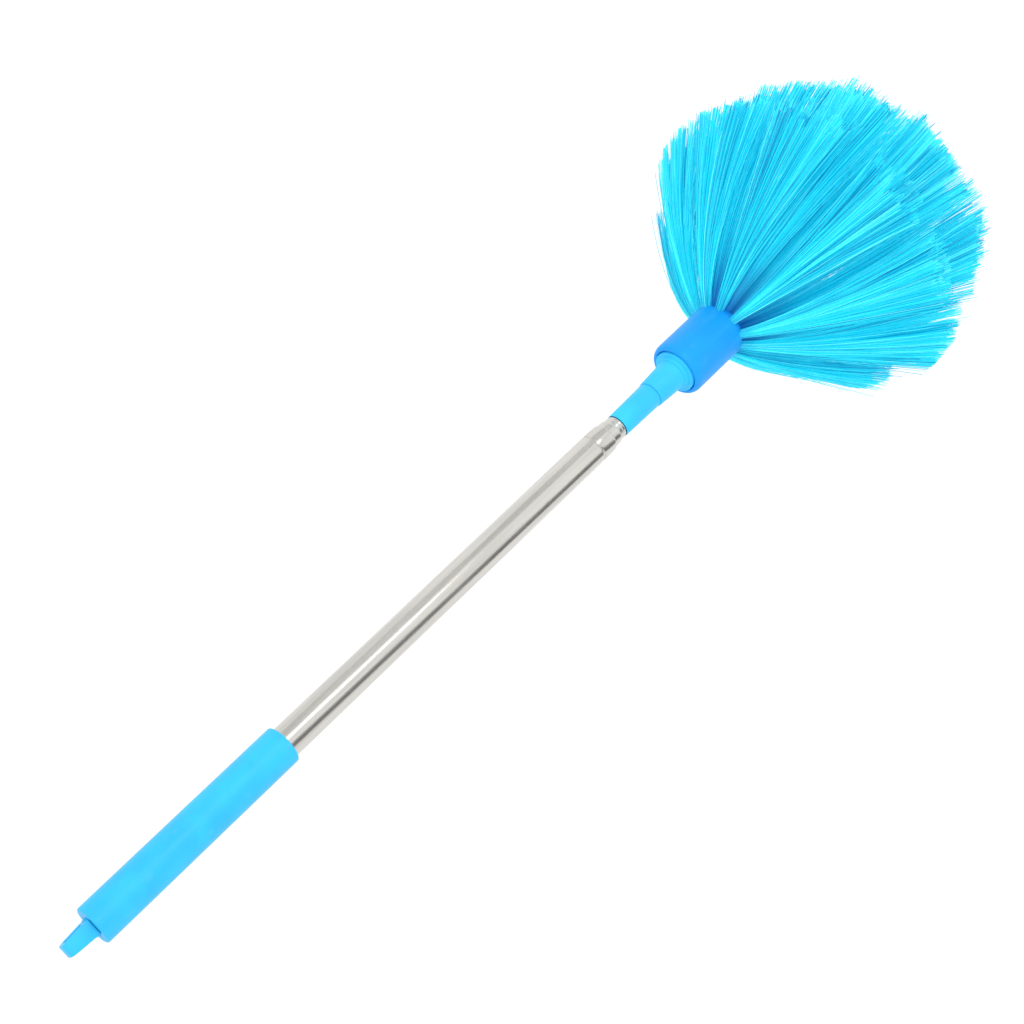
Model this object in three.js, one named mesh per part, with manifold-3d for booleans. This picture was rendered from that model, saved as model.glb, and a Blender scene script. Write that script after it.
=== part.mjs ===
// Round ceiling duster: a dome of synthetic bristle tufts on a three-section telescopic steel pole
// with a plastic grip. Millimetres, +Z up. The duster hangs by the eye of its loop, brush downwards,
// and the origin is the point of the eye that rests on the peg. Every piece is built on a pole axis
// whose own +Z runs from the grip's closed end (station 0) to the brush, and the whole axis is then
// turned over, so that stations grow downwards.

import * as THREE from 'three';
import { mergeVertices } from 'three/addons/utils/BufferGeometryUtils.js';
import Module from 'manifold-3d';

// ---------------------------------------------------------------- driving dimensions

const CLEARANCE = 0.3;            // gap between pieces that fit in, on or over each other
const SIDES = 24;                 // facets round every turned piece
const EDGE_STEPS = 3;             // facets of a rounded edge
const CURVE_STEPS = 4;            // of a rolled nose or the hub's edge
const DOME_STEPS = 7;
const JOIN = 1;                   // how far joined bodies run into each other
const MERGE = 1e-4;               // points closer than this are one
const ROLL_END = 80;              // degrees through which a tube's nose is rolled in

// grip and hang loop
const GRIP_LENGTH = 180;
const GRIP_WALL = 2.7;
const GRIP_END_WALL = 4;
const GRIP_EDGE = 1.6;            // rounding of both ends
const LOOP_LENGTH = 24;           // how far the strap stands out of the grip
const LOOP_WIDTH = 20;            // across the two legs at the grip
const LOOP_TIP_RADIUS = 6.5;      // rounding of the strap's corners at its tip
const STRAP_THICKNESS = 4;
const STRAP_BREADTH = 13;         // along the eye's axis, at the grip
const STRAP_TIP_BREADTH = 10;
const PLUG_SHOULDER = 3.7;        // step from the plug to its neck in the grip's end wall
const PLUG_DEPTH = 16;            // of the plug inside the outer tube

// pole sections, from the outside in
const OUTER_DIAMETER = 25;
const TUBE_WALL = 0.8;
const SECTION_GAP = 0.7;          // between one section and the bore of the next
const MOUTH_LIP = 0.5;            // wall left at a rolled-in mouth
const OUTER_REACH = 361;          // of the outer tube beyond the grip
const MIDDLE_SHOW = 8.5;          // of the middle tube beyond the outer tube, pushed in
const INNER_SHOW = 7;             // of the inner tube beyond the middle tube, pushed in
const OUTER_NOSE = 9;             // length of the rolled nose
const MIDDLE_NOSE = 5;
const GROOVE_SETBACK = 15.5;      // rolled groove, behind the outer tube's mouth
const GROOVE_DEPTH = 0.6;
const GROOVE_HALF = 1.3;
const RIDGE_HEIGHT = 0.4;         // rolled ridges that hold the end sleeve on the inner tube
const RIDGE_PITCH = 2.7;
const BUSH_LENGTH = 26;
const BUSH_SETBACK = 18.5;        // guide bush's brush end, behind the tube's mouth

// twist lock at the inner end of each sliding section
const SPINDLE_PLUG = 22;
const SPINDLE_FLANGE = 3;
const SPINDLE_ROD_STEP = 4.4;     // step from the inner section's spindle plug to the screw rod
const SPINDLE_ROD = 27;
const SPINDLE_STOP = 2;
const SPINDLE_STOP_STEP = 2.5;    // the stop disc stands out beyond the rod by this
const COLLET_LENGTH = 20;
const COLLET_COLLAR = 6;          // straight part of the collet's bore
const COLLET_SLOT = 2.5;
const COLLET_LIP = 2.2;           // wall left at the collet's wide end
const CONE_WALL = 0.8;            // wall left at the cone's narrow end
const CONE_GAP = 0.45;            // between the cone's flank and the collet's bore
const LOCK_SPACE = 4;             // free length between one lock and the piece behind it

// end sleeve, adapter and hub
const SLEEVE_LENGTH = 42;
const SLEEVE_WALL = 0.95;         // at the lower end
const SLEEVE_FLARE = 0.5;         // how much wider its radius is at the brush end
const SLEEVE_CAP = 9;             // solid end above the inner tube
const SCREW_RADIUS = 6;
const SCREW_LENGTH = 14;
const ADAPTER_STEP = 0.95;        // the adapter stands out beyond the sleeve by this
const ADAPTER_FLARE = 0.55;
const ADAPTER_TAPER = 28;
const STEP_WIDTH = 2.75;          // lower step of the flange
const STEP_HEIGHT = 3;
const FLANGE_WIDTH = 3.3;
const FLANGE_HEIGHT = 6;
const SPIGOT_SHOULDER = 5.8;      // step from the flange to the spigot
const SPIGOT_LENGTH = 24;
const HUB_LIP = 4.6;              // wall round the hub's recess
const HUB_BODY = 58;              // length of the hub's cylinder
const HUB_EDGE = 6;               // height of the rounding of the hub's lower edge
const HUB_RIM = 0.5;              // flat left inside that rounding
const HUB_RECESS = 4.7;           // depth of the recess round the flange
const DOME_RISE = 16;             // height of the tufted dome above the cylinder

// bristle tufts: rings from the rim to the middle. Wall is what is left of the dome between a ring's
// seats and those of the next ring inside it, or in the middle ring between its own. Tilt is how much
// closer to the pole's axis than the dome's own direction a tuft leaves it, in degrees. Out and down
// lead from the next ring's free ends to this ring's, and a fan's width is added to one of the two.
const TUFT_ROOT_RADIUS = 3;
const TUFT_TIP_RADIUS = 17;
const TUFT_SEAT_DEPTH = 4;
const TUFT_BEND = 0.42;           // share of the tuft's length that keeps its first direction
const TUFT_SIDES = 8;
const TUFT_STEPS = 4;
const TIP_HEIGHT = 252;           // of the middle ring's free ends above the hub's cylinder
const TUFT_RINGS = [
  { count: 10, wall: 2.6, tilt: 3, out: 10, down: 34, widthGoes: 'down' },
  { count: 9, wall: 1.9, tilt: 2, out: 32, down: 13, widthGoes: 'down' },
  { count: 6, wall: 1.2, tilt: 0, out: 12, down: 23, widthGoes: 'out' },
  { count: 3, wall: 1.97, tilt: 1, out: 2, down: 0, widthGoes: 'out' },
];

// ---------------------------------------------------------------- stations worked out from them

const eyeStation = -(LOOP_LENGTH - STRAP_THICKNESS);
const outerStart = GRIP_END_WALL + CLEARANCE;
const outerMouth = GRIP_LENGTH + OUTER_REACH;
const middleMouth = outerMouth + MIDDLE_SHOW;
const sleeveStart = middleMouth + INNER_SHOW;
const sleeveEnd = sleeveStart + SLEEVE_LENGTH;
const innerEnd = sleeveEnd - SLEEVE_CAP - CLEARANCE;
const adapterStart = sleeveEnd + CLEARANCE;
const adapterEnd = adapterStart + ADAPTER_TAPER;
const flangeStart = adapterEnd + STEP_HEIGHT;
const flangeEnd = flangeStart + FLANGE_HEIGHT;
const spigotEnd = flangeEnd + SPIGOT_LENGTH;
const hubStart = flangeEnd + CLEARANCE - HUB_RECESS;
const hubShoulder = hubStart + HUB_BODY;

const lockLength = SPINDLE_FLANGE + CLEARANCE + SPINDLE_ROD + SPINDLE_STOP;
const middleStart = outerStart + PLUG_DEPTH + LOCK_SPACE + lockLength;
const innerStart = middleStart + SPINDLE_PLUG + LOCK_SPACE + lockLength;

const outerRadius = OUTER_DIAMETER / 2;
const middleRadius = outerRadius - TUBE_WALL - SECTION_GAP;
const innerRadius = middleRadius - TUBE_WALL - SECTION_GAP;
const innerPlugRadius = innerRadius - TUBE_WALL - CLEARANCE;
const spindleRodRadius = innerPlugRadius - SPINDLE_ROD_STEP;
const spindleStopRadius = spindleRodRadius + SPINDLE_STOP_STEP;
const gripRadius = outerRadius + CLEARANCE + GRIP_WALL;
const plugRadius = outerRadius - TUBE_WALL - CLEARANCE;
const neckRadius = plugRadius - PLUG_SHOULDER;
const sleeveRadius = innerRadius + CLEARANCE + SLEEVE_WALL;
const adapterRadius = sleeveRadius + SLEEVE_FLARE + ADAPTER_STEP;
const stepRadius = adapterRadius + ADAPTER_FLARE + STEP_WIDTH;
const flangeRadius = stepRadius + FLANGE_WIDTH;
const spigotRadius = flangeRadius - SPIGOT_SHOULDER;
const recessRadius = flangeRadius + 2 * CLEARANCE;
const hubRadius = recessRadius + HUB_LIP;
const domeRadius = (hubRadius ** 2 + DOME_RISE ** 2) / (2 * DOME_RISE);
const domeCentre = hubShoulder + DOME_RISE - domeRadius;

// ---------------------------------------------------------------- materials

const plastic = (color, roughness) => new THREE.MeshStandardMaterial({ color, roughness, metalness: 0 });
const skyBlue = plastic(0x35c3ff, 0.4);
const azure = plastic(0x1499f5, 0.4);
const bristle = plastic(0x22d0ff, 0.5);
const lockGrey = plastic(0x50565c, 0.6);
const bushWhite = plastic(0xe6e8e6, 0.6);
const steel = new THREE.MeshStandardMaterial({ color: 0xd4d2cd, roughness: 0.25, metalness: 1 });

// ---------------------------------------------------------------- helpers

const wasm = await Module();
wasm.setup();

// A closed three.js geometry as a solid that can be joined and cut.
function toSolid(geometry) {
  const bare = geometry.clone();
  bare.deleteAttribute('normal');
  bare.deleteAttribute('uv');
  const merged = mergeVertices(bare, MERGE);
  return new wasm.Manifold(new wasm.Mesh({
    numProp: 3,
    vertProperties: new Float32Array(merged.attributes.position.array),
    triVerts: new Uint32Array(merged.index.array),
  }));
}

// A named mesh from a solid.
function piece(name, solid, material) {
  const { numProp, vertProperties, triVerts } = solid.getMesh();
  const geometry = new THREE.BufferGeometry();
  geometry.setAttribute('position', new THREE.BufferAttribute(vertProperties, numProp));
  geometry.setIndex(new THREE.BufferAttribute(triVerts, 1));
  geometry.computeVertexNormals();
  const mesh = new THREE.Mesh(geometry, material);
  mesh.name = name;
  return mesh;
}

// A solid turned about the pole's axis from [radius, station] points, listed up its outside.
function turned(outline) {
  const points = outline.map(([radius, station]) => new THREE.Vector2(radius, station));
  return toSolid(new THREE.LatheGeometry(points, SIDES).rotateX(Math.PI / 2));
}

// A turned ring or tube: the outside is listed from its lower to its upper end, then the inside
// back down, and the outline closes on itself.
const turnedRing = (outline) => turned([...outline, outline[0]]);

const rod = (radius, from, to) => turned([[0, from], [radius, from], [radius, to], [0, to]]);

// Points of a quarter ellipse about [radius, station], from one angle to another in degrees,
// measured from the outward direction towards the brush.
function arc(radius, station, across, along, fromDegrees, toDegrees, steps) {
  return Array.from({ length: steps + 1 }, (_, i) => {
    const angle = THREE.MathUtils.degToRad(fromDegrees + (toDegrees - fromDegrees) * i / steps);
    return [radius + across * Math.cos(angle), station + along * Math.sin(angle)];
  });
}

// ---------------------------------------------------------------- grip and hang loop

function gripSleeve() {
  const bore = outerRadius + CLEARANCE;
  const hole = neckRadius + CLEARANCE;
  return turnedRing([
    [hole, 0],
    ...arc(gripRadius - GRIP_EDGE, GRIP_EDGE, GRIP_EDGE, GRIP_EDGE, -90, 0, EDGE_STEPS),
    ...arc(gripRadius - GRIP_EDGE, GRIP_LENGTH - GRIP_EDGE, GRIP_EDGE, GRIP_EDGE, 0, 90, EDGE_STEPS),
    [bore, GRIP_LENGTH],
    [bore, GRIP_END_WALL],
    [hole, GRIP_END_WALL],
  ]);
}

// Outline of the strap or of its eye, in the plane across the eye's axis: legs that meet a
// rounded crown. It is drawn with y as the station, the crown at the lowest y.
function strapOutline(halfWidth, crown, foot, corner, PathClass) {
  const path = new PathClass();
  path.moveTo(halfWidth, foot);
  path.lineTo(-halfWidth, foot);
  path.lineTo(-halfWidth, crown + corner);
  path.absarc(-halfWidth + corner, crown + corner, corner, Math.PI, 1.5 * Math.PI, false);
  path.lineTo(halfWidth - corner, crown);
  path.absarc(halfWidth - corner, crown + corner, corner, 1.5 * Math.PI, 2 * Math.PI, false);
  path.lineTo(halfWidth, foot);
  return path;
}

// The strap is extruded along the eye's axis (X) and narrows towards its tip.
function strap() {
  const halfWidth = LOOP_WIDTH / 2;
  const eyeHalf = halfWidth - STRAP_THICKNESS;
  const eyeCorner = LOOP_TIP_RADIUS - STRAP_THICKNESS;
  const foot = -CLEARANCE;
  const shape = strapOutline(halfWidth, -LOOP_LENGTH, foot, LOOP_TIP_RADIUS, THREE.Shape);
  shape.holes.push(strapOutline(eyeHalf, eyeStation, foot - STRAP_THICKNESS, eyeCorner, THREE.Path));
  const geometry = new THREE.ExtrudeGeometry(shape, {
    depth: STRAP_BREADTH, bevelEnabled: false, curveSegments: CURVE_STEPS,
  });
  geometry.translate(0, 0, -STRAP_BREADTH / 2);
  geometry.rotateX(Math.PI / 2).rotateZ(Math.PI / 2);
  const position = geometry.attributes.position;
  for (let i = 0; i < position.count; i += 1) {
    const share = (foot - position.getZ(i)) / (LOOP_LENGTH + foot);
    position.setX(i, position.getX(i) * THREE.MathUtils.lerp(1, STRAP_TIP_BREADTH / STRAP_BREADTH, share));
  }
  return toSolid(geometry);
}

// The strap with the plug that holds it in the end of the outer tube.
function endLoop() {
  const neck = rod(neckRadius, -JOIN, outerStart + JOIN);
  const plug = rod(plugRadius, outerStart, outerStart + PLUG_DEPTH);
  return strap().add(neck).add(plug);
}

// ---------------------------------------------------------------- pole

// A tube with a rolled nose that closes on the next section, and a rolled groove behind it.
function outerTube() {
  const bore = outerRadius - TUBE_WALL;
  const mouthBore = middleRadius + CLEARANCE;
  const mouthRadius = mouthBore + MOUTH_LIP;
  const groove = outerMouth - GROOVE_SETBACK;
  const noseStart = outerMouth - OUTER_NOSE;
  return turnedRing([
    [outerRadius, outerStart],
    [outerRadius, groove - GROOVE_HALF],
    [outerRadius - GROOVE_DEPTH, groove - GROOVE_HALF / 3],
    [outerRadius - GROOVE_DEPTH, groove + GROOVE_HALF / 3],
    [outerRadius, groove + GROOVE_HALF],
    ...arc(mouthRadius, noseStart, outerRadius - mouthRadius, OUTER_NOSE, 0, ROLL_END, CURVE_STEPS),
    [mouthRadius, outerMouth],
    [mouthBore, outerMouth],
    [bore, noseStart],
    [bore, groove + GROOVE_HALF],
    [bore - GROOVE_DEPTH / 2, groove],
    [bore, groove - GROOVE_HALF],
    [bore, outerStart],
  ]);
}

function middleTube() {
  const bore = middleRadius - TUBE_WALL;
  const mouthBore = innerRadius + CLEARANCE;
  const mouthRadius = mouthBore + MOUTH_LIP;
  const noseStart = middleMouth - MIDDLE_NOSE;
  return turnedRing([
    [middleRadius, middleStart],
    ...arc(mouthRadius, noseStart, middleRadius - mouthRadius, MIDDLE_NOSE, 0, ROLL_END, EDGE_STEPS),
    [mouthRadius, middleMouth],
    [mouthBore, middleMouth],
    [bore, noseStart],
    [bore, middleStart],
  ]);
}

// The inner tube, with two rolled ridges that show between the middle tube and the end sleeve.
function innerTube() {
  const bore = innerRadius - TUBE_WALL;
  const ridge = (station) => [
    [innerRadius, station - RIDGE_PITCH / 2],
    [innerRadius + RIDGE_HEIGHT, station],
  ];
  const firstRidge = middleMouth + RIDGE_PITCH;
  return turnedRing([
    [innerRadius, innerStart],
    ...ridge(firstRidge),
    ...ridge(firstRidge + RIDGE_PITCH),
    [innerRadius, firstRidge + 1.5 * RIDGE_PITCH],
    [innerRadius, innerEnd],
    [bore, innerEnd],
    [bore, innerStart],
  ]);
}

// A plastic bush inside a tube's mouth, which guides the next section and stops its collet.
function guideBush(tubeRadius, sectionRadius, mouth) {
  const outside = tubeRadius - TUBE_WALL - CLEARANCE;
  const bore = sectionRadius + CLEARANCE / 2;
  const end = mouth - BUSH_SETBACK;
  return turnedRing([[outside, end - BUSH_LENGTH], [outside, end], [bore, end], [bore, end - BUSH_LENGTH]]);
}

// ---------------------------------------------------------------- twist lock

// The spindle: a plug in the section's end, a flange, a screw rod and a stop disc behind it.
function lockSpindle(sectionRadius, start) {
  const flangeTop = start - CLEARANCE;
  const rodTop = flangeTop - SPINDLE_FLANGE;
  const plug = rod(sectionRadius - TUBE_WALL - CLEARANCE, flangeTop - JOIN, start + SPINDLE_PLUG);
  const flange = rod(sectionRadius, rodTop, flangeTop);
  const screw = rod(spindleRodRadius, rodTop - SPINDLE_ROD - JOIN, rodTop + JOIN);
  const stop = rod(spindleStopRadius, rodTop - SPINDLE_ROD - SPINDLE_STOP, rodTop - SPINDLE_ROD);
  return plug.add(flange).add(screw).add(stop);
}

const colletEnd = (start) => start - 2 * CLEARANCE - SPINDLE_FLANGE;

// The split collet, whose bore opens as a cone away from the section.
function lockCollet(tubeRadius, start) {
  const outside = tubeRadius - TUBE_WALL - CLEARANCE;
  const bore = spindleRodRadius + CLEARANCE;
  const end = colletEnd(start);
  const foot = end - COLLET_LENGTH;
  const ring = turnedRing([
    [outside - COLLET_LIP, foot],
    [outside, foot],
    [outside, end],
    [bore, end],
    [bore, end - COLLET_COLLAR],
  ]);
  const slot = new THREE.BoxGeometry(2 * outside, COLLET_SLOT, 2 * COLLET_LENGTH);
  slot.translate(outside, 0, (foot + end) / 2);
  return ring.subtract(toSolid(slot));
}

// The cone nut that spreads the collet: its flank runs beside the collet's bore.
function lockCone(tubeRadius, start) {
  const outside = tubeRadius - TUBE_WALL - CLEARANCE;
  const bore = spindleRodRadius + CLEARANCE;
  const end = colletEnd(start);
  const foot = end - COLLET_LENGTH;
  const slope = (outside - COLLET_LIP - bore) / (COLLET_LENGTH - COLLET_COLLAR);
  const wide = outside - COLLET_LIP - CONE_GAP;
  const narrow = bore + CONE_WALL;
  const tip = foot + (wide - narrow) / slope;
  return turnedRing([[wide, foot], [narrow, tip], [bore, tip], [bore, foot]]);
}

// ---------------------------------------------------------------- brush head

// The sleeve that closes the inner tube, with the screw that the head turns onto.
function endSleeve() {
  const bore = innerRadius + CLEARANCE;
  const boreEnd = innerEnd + CLEARANCE;
  const body = turned([
    [0, boreEnd],
    [bore, boreEnd],
    [bore, sleeveStart],
    [sleeveRadius, sleeveStart],
    [sleeveRadius + SLEEVE_FLARE, sleeveEnd],
    [0, sleeveEnd],
  ]);
  return body.add(rod(SCREW_RADIUS, sleeveEnd - JOIN, sleeveEnd + SCREW_LENGTH));
}

function headAdapter() {
  const screwBore = SCREW_RADIUS + CLEARANCE;
  const boreEnd = sleeveEnd + SCREW_LENGTH + CLEARANCE;
  return turned([
    [0, boreEnd],
    [screwBore, boreEnd],
    [screwBore, adapterStart],
    [adapterRadius, adapterStart],
    [adapterRadius + ADAPTER_FLARE, adapterEnd],
    [stepRadius, adapterEnd],
    [stepRadius, flangeStart],
    [flangeRadius, flangeStart],
    [flangeRadius, flangeEnd],
    [spigotRadius, flangeEnd],
    [spigotRadius, spigotEnd],
    [0, spigotEnd],
  ]);
}

// The rings with their places, each worked out from the next one inside it: the seat's angle from
// the pole's axis, and the free end's radius and height above the hub's cylinder.
function placedRings() {
  const fanWidth = 2 * TUFT_TIP_RADIUS;
  const placed = [];
  let inside = { seat: 0, tipRadius: 0, tipHeight: TIP_HEIGHT };
  [...TUFT_RINGS].reverse().forEach((ring, place) => {
    const pitch = 2 * TUFT_ROOT_RADIUS + ring.wall;
    const middleSeat = Math.asin(pitch / 2 / Math.sin(Math.PI / ring.count) / domeRadius);
    const seat = place === 0 ? middleSeat : inside.seat + pitch / domeRadius;
    inside = {
      count: ring.count,
      seat,
      lean: seat - THREE.MathUtils.degToRad(ring.tilt),
      tipRadius: inside.tipRadius + ring.out + (ring.widthGoes === 'out' ? fanWidth : 0),
      tipHeight: inside.tipHeight - ring.down - (ring.widthGoes === 'down' ? fanWidth : 0),
    };
    placed.unshift(inside);
  });
  return placed;
}

const rings = placedRings();

// A tuft's middle line: it starts in its seat, keeps its first direction and bends to its tip.
function tuftLine(ring, index) {
  const turn = 2 * Math.PI * (index + 0.5) / ring.count;
  const at = (radius, station) => new THREE.Vector3(
    radius * Math.cos(turn), radius * Math.sin(turn), station,
  );
  const towards = at(Math.sin(ring.lean), Math.cos(ring.lean));
  const mouth = at(domeRadius * Math.sin(ring.seat), domeCentre + domeRadius * Math.cos(ring.seat));
  const root = mouth.clone().addScaledVector(towards, -TUFT_SEAT_DEPTH);
  const tip = at(ring.tipRadius, hubShoulder + ring.tipHeight);
  const bend = root.clone().addScaledVector(towards, TUFT_BEND * root.distanceTo(tip));
  return new THREE.QuadraticBezierCurve3(root, bend, tip);
}

// A tuft as one tapered body about its middle line, or, with a margin, the space it sits in.
function tuft(ring, index, margin = 0) {
  const line = tuftLine(ring, index);
  const geometry = new THREE.CylinderGeometry(1, 1, 1, TUFT_SIDES, TUFT_STEPS);
  const position = geometry.attributes.position;
  const sideways = new THREE.Vector3().crossVectors(line.getTangent(0), line.getTangent(1));
  if (sideways.length() < MERGE) {
    sideways.set(0, 1, 0);
  }
  sideways.normalize();
  for (let i = 0; i < position.count; i += 1) {
    const share = position.getY(i) + 0.5;
    const along = line.getTangent(share);
    const upwards = new THREE.Vector3().crossVectors(sideways, along);
    const radius = THREE.MathUtils.lerp(TUFT_ROOT_RADIUS, TUFT_TIP_RADIUS, share) + margin;
    const point = line.getPoint(share)
      .addScaledVector(sideways, radius * position.getX(i))
      .addScaledVector(upwards, radius * position.getZ(i));
    if (share === 0) {
      point.addScaledVector(along, -margin);
    }
    position.setXYZ(i, point.x, point.y, point.z);
  }
  return toSolid(geometry);
}

// The hub: recess and socket for the adapter, rounded lower edge and domed, drilled end.
function hub() {
  const recessEnd = hubStart + HUB_RECESS;
  const socket = spigotRadius + CLEARANCE;
  const socketEnd = spigotEnd + CLEARANCE;
  const edge = Math.min(HUB_EDGE, HUB_LIP - HUB_RIM);
  const shoulder = THREE.MathUtils.radToDeg(Math.asin((hubShoulder - domeCentre) / domeRadius));
  const body = turned([
    [0, socketEnd],
    [socket, socketEnd],
    [socket, recessEnd],
    [recessRadius, recessEnd],
    [recessRadius, hubStart],
    ...arc(hubRadius - edge, hubStart + HUB_EDGE, edge, HUB_EDGE, -90, 0, CURVE_STEPS),
    ...arc(0, domeCentre, domeRadius, domeRadius, shoulder, 90, DOME_STEPS).map(([r, z]) => [Math.max(r, 0), z]),
  ]);
  const seats = rings.flatMap((ring) => (
    Array.from({ length: ring.count }, (_, index) => tuft(ring, index, CLEARANCE))
  ));
  return seats.reduce((solid, seat) => solid.subtract(seat), body);
}

// ---------------------------------------------------------------- the duster

function pole() {
  const axis = new THREE.Group();
  axis.add(
    piece('grip_sleeve', gripSleeve(), skyBlue),
    piece('end_loop', endLoop(), skyBlue),
    piece('outer_tube', outerTube(), steel),
    piece('outer_guide_bush', guideBush(outerRadius, middleRadius, outerMouth), bushWhite),
    piece('middle_lock_collet', lockCollet(outerRadius, middleStart), lockGrey),
    piece('middle_lock_cone', lockCone(outerRadius, middleStart), bushWhite),
    piece('middle_lock_spindle', lockSpindle(middleRadius, middleStart), lockGrey),
    piece('middle_tube', middleTube(), steel),
    piece('middle_guide_bush', guideBush(middleRadius, innerRadius, middleMouth), bushWhite),
    piece('inner_lock_collet', lockCollet(middleRadius, innerStart), lockGrey),
    piece('inner_lock_cone', lockCone(middleRadius, innerStart), bushWhite),
    piece('inner_lock_spindle', lockSpindle(innerRadius, innerStart), lockGrey),
    piece('inner_tube', innerTube(), steel),
    piece('tube_end_sleeve', endSleeve(), skyBlue),
  );
  return axis;
}

function brushHead() {
  const head = new THREE.Group();
  head.add(piece('head_adapter', headAdapter(), skyBlue), piece('hub', hub(), azure));
  rings.forEach((ring, row) => {
    for (let index = 0; index < ring.count; index += 1) {
      const number = String(index + 1).padStart(2, '0');
      head.add(piece(`tuft_row${row + 1}_${number}`, tuft(ring, index), bristle));
    }
  });
  return head;
}

const duster = new THREE.Group();
duster.add(pole(), brushHead());
duster.rotation.x = Math.PI;
duster.position.z = eyeStation;
export default duster;
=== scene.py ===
"""Round ceiling duster: a dome of cut bristle tufts on a three-section telescopic steel pole with a
moulded grip. The looks of every piece, modelled round the fixed frame. Metres, +Z up: the duster
hangs by its loop with the brush downwards, so "down" along the pole is towards the brush."""

import math

import bpy
import numpy as np
from bpy.props import FloatProperty, FloatVectorProperty, IntProperty, PointerProperty
from mathutils import Euler, Matrix, Vector


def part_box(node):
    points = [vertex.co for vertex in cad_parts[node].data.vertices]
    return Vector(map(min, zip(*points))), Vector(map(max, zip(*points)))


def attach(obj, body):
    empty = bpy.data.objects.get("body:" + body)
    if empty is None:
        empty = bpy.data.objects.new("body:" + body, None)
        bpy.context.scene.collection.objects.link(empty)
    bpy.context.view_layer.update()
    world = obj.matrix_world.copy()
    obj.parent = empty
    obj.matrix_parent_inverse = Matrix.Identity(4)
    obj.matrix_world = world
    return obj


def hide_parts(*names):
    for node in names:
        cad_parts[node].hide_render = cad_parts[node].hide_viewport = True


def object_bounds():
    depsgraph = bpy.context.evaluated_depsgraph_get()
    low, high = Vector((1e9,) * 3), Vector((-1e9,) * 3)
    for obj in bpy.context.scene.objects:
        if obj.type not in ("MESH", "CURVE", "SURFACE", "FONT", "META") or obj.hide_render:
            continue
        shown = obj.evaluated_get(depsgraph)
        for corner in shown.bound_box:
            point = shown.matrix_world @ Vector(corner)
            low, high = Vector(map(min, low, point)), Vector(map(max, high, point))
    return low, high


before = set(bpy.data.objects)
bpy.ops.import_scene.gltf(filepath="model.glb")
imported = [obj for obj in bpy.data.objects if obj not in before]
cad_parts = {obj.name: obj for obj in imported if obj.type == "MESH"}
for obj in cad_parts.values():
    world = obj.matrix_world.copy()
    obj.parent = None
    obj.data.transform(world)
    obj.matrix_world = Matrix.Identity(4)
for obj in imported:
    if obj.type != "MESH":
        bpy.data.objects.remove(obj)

bl_info = {
    "name": "Telescopic Ceiling Duster",
    "version": (1, 0, 0),
    "blender": (4, 5, 0),
    "location": "View3D > Sidebar > Duster",
    "description": "Models a round bristle duster on a telescopic steel pole",
    "category": "Add Mesh",
}

CAD_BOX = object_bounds()
MM = 0.001

CLEARANCE = 0.3 * MM
SIDES = 96                     # facets round a turned piece
SMOOTH_ANGLE = math.radians(32)
MERGE_DISTANCE = 1e-6


def linear(red, green, blue):
    """A linear colour from the usual 0 to 255 display values."""
    def channel(value):
        share = value / 255
        return share / 12.92 if share <= 0.04045 else ((share + 0.055) / 1.055) ** 2.4
    return channel(red), channel(green), channel(blue)


# ------------------------------------------------------------------ settings

class DusterSizes(bpy.types.PropertyGroup):
    """Sizes of the duster that a user would change."""

    tube_wall: FloatProperty(
        name="Tube Wall", description="Thickness of the steel of each pole section",
        default=0.8 * MM, min=0.3 * MM, subtype="DISTANCE", unit="LENGTH")
    edge_radius: FloatProperty(
        name="Edge Radius", description="Rounding left on moulded edges",
        default=0.45 * MM, min=0.05 * MM, subtype="DISTANCE", unit="LENGTH")
    filaments: IntProperty(
        name="Filaments", description="Filaments in each bristle tuft", default=600, min=20)
    filament_radius: FloatProperty(
        name="Filament Radius", description="Half the thickness of one filament at its root",
        default=0.34 * MM, min=0.05 * MM, subtype="DISTANCE", unit="LENGTH")
    fan_across: FloatProperty(
        name="Fan Across", description="Half width of a tuft's free end round the pole's axis",
        default=33 * MM, min=5 * MM, subtype="DISTANCE", unit="LENGTH")
    fan_along: FloatProperty(
        name="Fan Along", description="Half width of a tuft's free end along the dome",
        default=26 * MM, min=5 * MM, subtype="DISTANCE", unit="LENGTH")
    brush_radius: FloatProperty(
        name="Brush Radius", description="Half the width of the dome that the free ends are cut to",
        default=147 * MM, min=50 * MM, subtype="DISTANCE", unit="LENGTH")
    brush_depth: FloatProperty(
        name="Brush Depth", description="Depth of that dome below the hub's cylinder",
        default=268 * MM, min=50 * MM, subtype="DISTANCE", unit="LENGTH")
    raggedness: FloatProperty(
        name="Raggedness", description="How unevenly the free ends are cut",
        default=3 * MM, min=0, subtype="DISTANCE", unit="LENGTH")


class DusterColours(bpy.types.PropertyGroup):
    """Colours of the duster's finishes."""

    grip: FloatVectorProperty(
        name="Grip Blue", description="Moulded sky blue of the grip, sleeve and adapter",
        default=linear(50, 199, 252), subtype="COLOR", size=3)
    hub: FloatVectorProperty(
        name="Hub Blue", description="Moulded azure of the hub",
        default=linear(4, 160, 250), subtype="COLOR", size=3)
    bristle: FloatVectorProperty(
        name="Bristle Blue", description="Main colour of the filaments",
        default=linear(26, 224, 240), subtype="COLOR", size=3)
    steel: FloatVectorProperty(
        name="Steel", description="Polished stainless steel",
        default=linear(213, 211, 205), subtype="COLOR", size=3)


# ------------------------------------------------------------------ finishes

class Field:
    """A value that varies over a surface. Arithmetic on it adds Math nodes to its finish."""

    def __init__(self, finish, socket):
        self.finish = finish
        self.socket = socket

    def _math(self, operation, first, second):
        return self.finish.add("ShaderNodeMath", {"operation": operation}, {0: first, 1: second})

    def __add__(self, other):
        return self._math("ADD", self, other)

    __radd__ = __add__

    def __mul__(self, other):
        return self._math("MULTIPLY", self, other)

    __rmul__ = __mul__


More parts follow.
